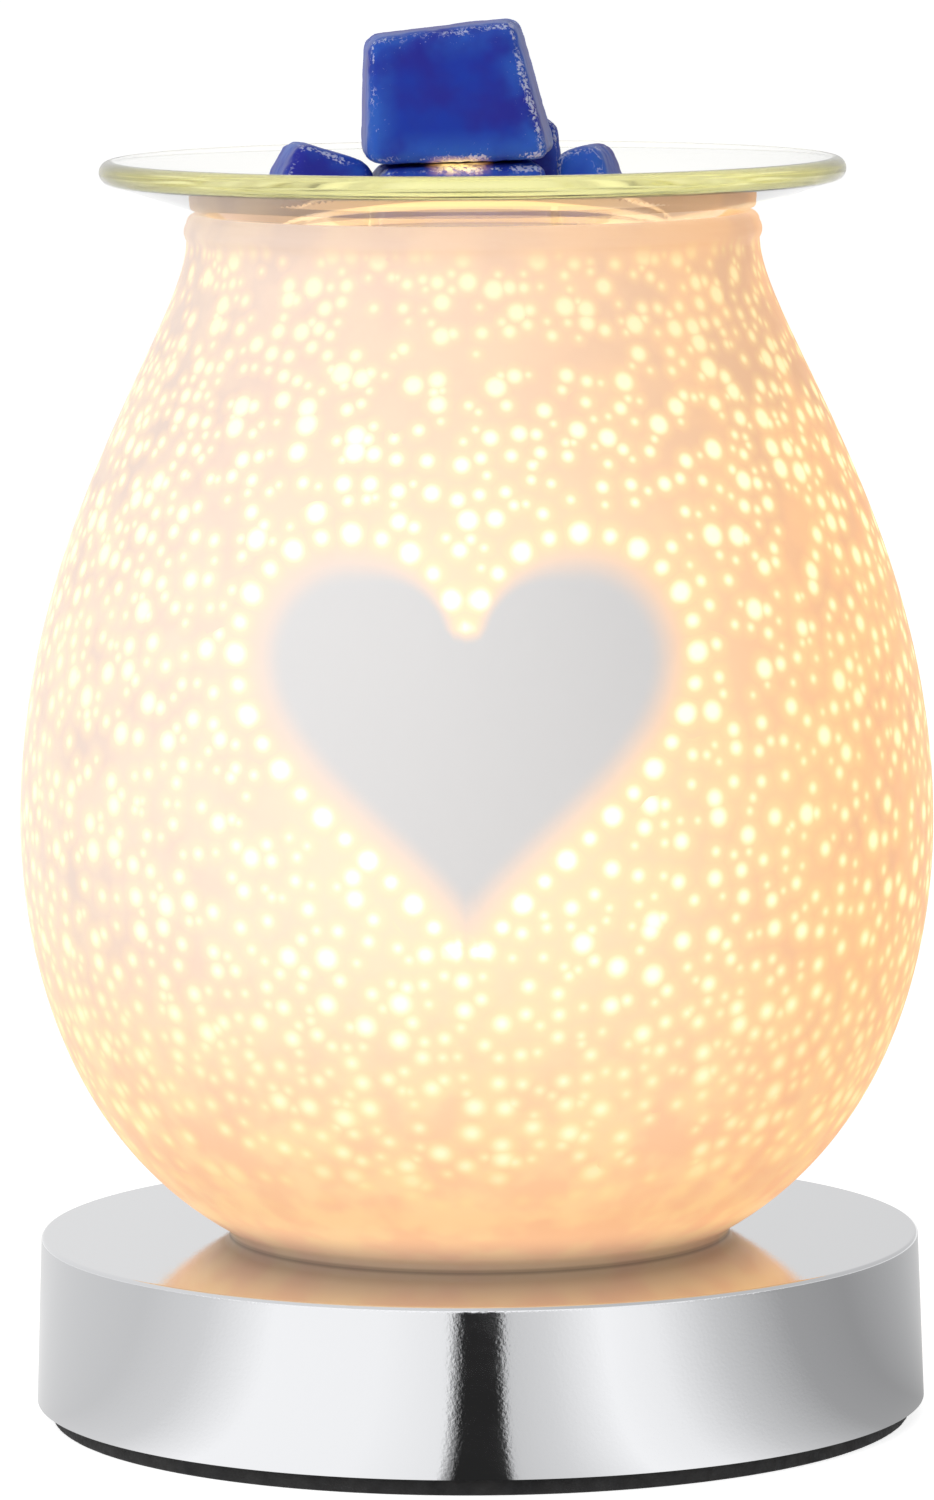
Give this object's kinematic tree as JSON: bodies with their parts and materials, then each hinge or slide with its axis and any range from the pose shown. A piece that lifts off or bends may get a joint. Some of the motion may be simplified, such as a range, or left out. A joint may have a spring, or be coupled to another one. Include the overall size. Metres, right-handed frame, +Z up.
{
  "type": "wax melt warmer",
  "caption": "Electric wax melt warmer: round chromed touch base, lit egg-shaped glass shade with an etched heart among dots, and a clear glass dish of wax melts on top.",
  "frame": {"origin": "middle of the foot pad's underside", "axes": "+Z up, front with the heart towards -Y, cord gland towards +Y"},
  "size_m": [0.123, 0.123, 0.1887],
  "materials": {
    "chrome": "bright chrome plate on pressed steel",
    "foam": "closed-cell foam pad",
    "steel": "zinc-plated steel",
    "rubber": "moulded rubber",
    "brass": "stamped brass",
    "holder_plastic": "heat-proof moulded plastic",
    "steatite": "unglazed steatite",
    "nickel": "nickel-plated sheet",
    "black_glass": "fused black glass",
    "solder": "solder",
    "bulb_glass": "clear thin glass",
    "filament": "hot tungsten wire",
    "shade_glass": "coated opal glass, etched with dots and a heart, lit",
    "silicone": "silicone rubber",
    "dish_glass": "clear pressed glass with a greenish edge",
    "wax": "blue paraffin wax, scuffed at the edges",
    "tape": "double-sided foam tape",
    "case_plastic": "moulded plastic",
    "board": "circuit board",
    "component_plastic": "moulded component cases",
    "wire_black": "wire insulation",
    "wire_white": "wire insulation",
    "wire_yellow": "wire insulation"
  },
  "bodies": {
    "base": {"base_shell": "chrome", "base_pad": "foam", "base_plate": "steel", "plate_posts": "steel", "plate_screws": "steel", "stem_tube": "steel", "stem_washer": "steel", "stem_nut": "steel", "cord_gland": "rubber", "touch_terminal": "brass", "holder_shell": "brass", "holder_contact": "brass", "holder_terminal": "brass", "holder_body": "holder_plastic", "holder_collar": "holder_plastic", "holder_insert": "steatite", "shade_gasket": "silicone", "dimmer_tape": "tape", "dimmer_case": "case_plastic", "dimmer_lid": "case_plastic", "splice_caps": "case_plastic", "dimmer_board": "board", "dimmer_components": "component_plastic", "lead_live": "wire_black", "lead_supply": "wire_black", "lead_neutral": "wire_white", "lead_dimmer_neutral": "wire_white", "lead_touch": "wire_yellow"},
    "shade": {"glass_shade": "shade_glass", "ring_washer": "silicone"},
    "ring": {"shade_ring": "holder_plastic"},
    "bulb": {"bulb_cap": "nickel", "bulb_insulator": "black_glass", "bulb_contact": "solder", "bulb_glass": "bulb_glass", "bulb_mount": "bulb_glass", "bulb_leads": "nickel", "bulb_filament": "filament"},
    "dish": {"glass_dish": "dish_glass"},
    "under_melt": {"wax_under": "wax"},
    "top_melt": {"wax_top": "wax"},
    "left_melt": {"wax_left": "wax"},
    "right_melt": {"wax_right": "wax"},
    "back_melt": {"wax_back": "wax"}
  },
  "joints": [
    {"name": "shade_lift", "type": "slide", "parent": "base", "child": "shade", "axis": [0, 0, 1], "range_m": [0, 0.11]},
    {"name": "ring_turn", "type": "hinge", "parent": "shade", "child": "ring", "pos_m": [0, 0, 0.033], "axis": [0, 0, 1], "continuous": true},
    {"name": "bulb_out", "type": "slide", "parent": "base", "child": "bulb", "axis": [0, 0, 1], "range_m": [0, 0.03]},
    {"name": "dish_lift", "type": "slide", "parent": "shade", "child": "dish", "axis": [0, 0, 1], "range_m": [0, 0.05]},
    {"name": "under_melt_lift", "type": "slide", "parent": "dish", "child": "under_melt", "axis": [0, 0, 1], "range_m": [0, 0.03]},
    {"name": "top_melt_lift", "type": "slide", "parent": "under_melt", "child": "top_melt", "axis": [0, 0, 1], "range_m": [0, 0.03]},
    {"name": "left_melt_lift", "type": "slide", "parent": "dish", "child": "left_melt", "axis": [0, 0, 1], "range_m": [0, 0.03]},
    {"name": "right_melt_lift", "type": "slide", "parent": "dish", "child": "right_melt", "axis": [0, 0, 1], "range_m": [0, 0.03]},
    {"name": "back_melt_lift", "type": "slide", "parent": "dish", "child": "back_melt", "axis": [0, 0, 1], "range_m": [0, 0.03]}
  ]
}
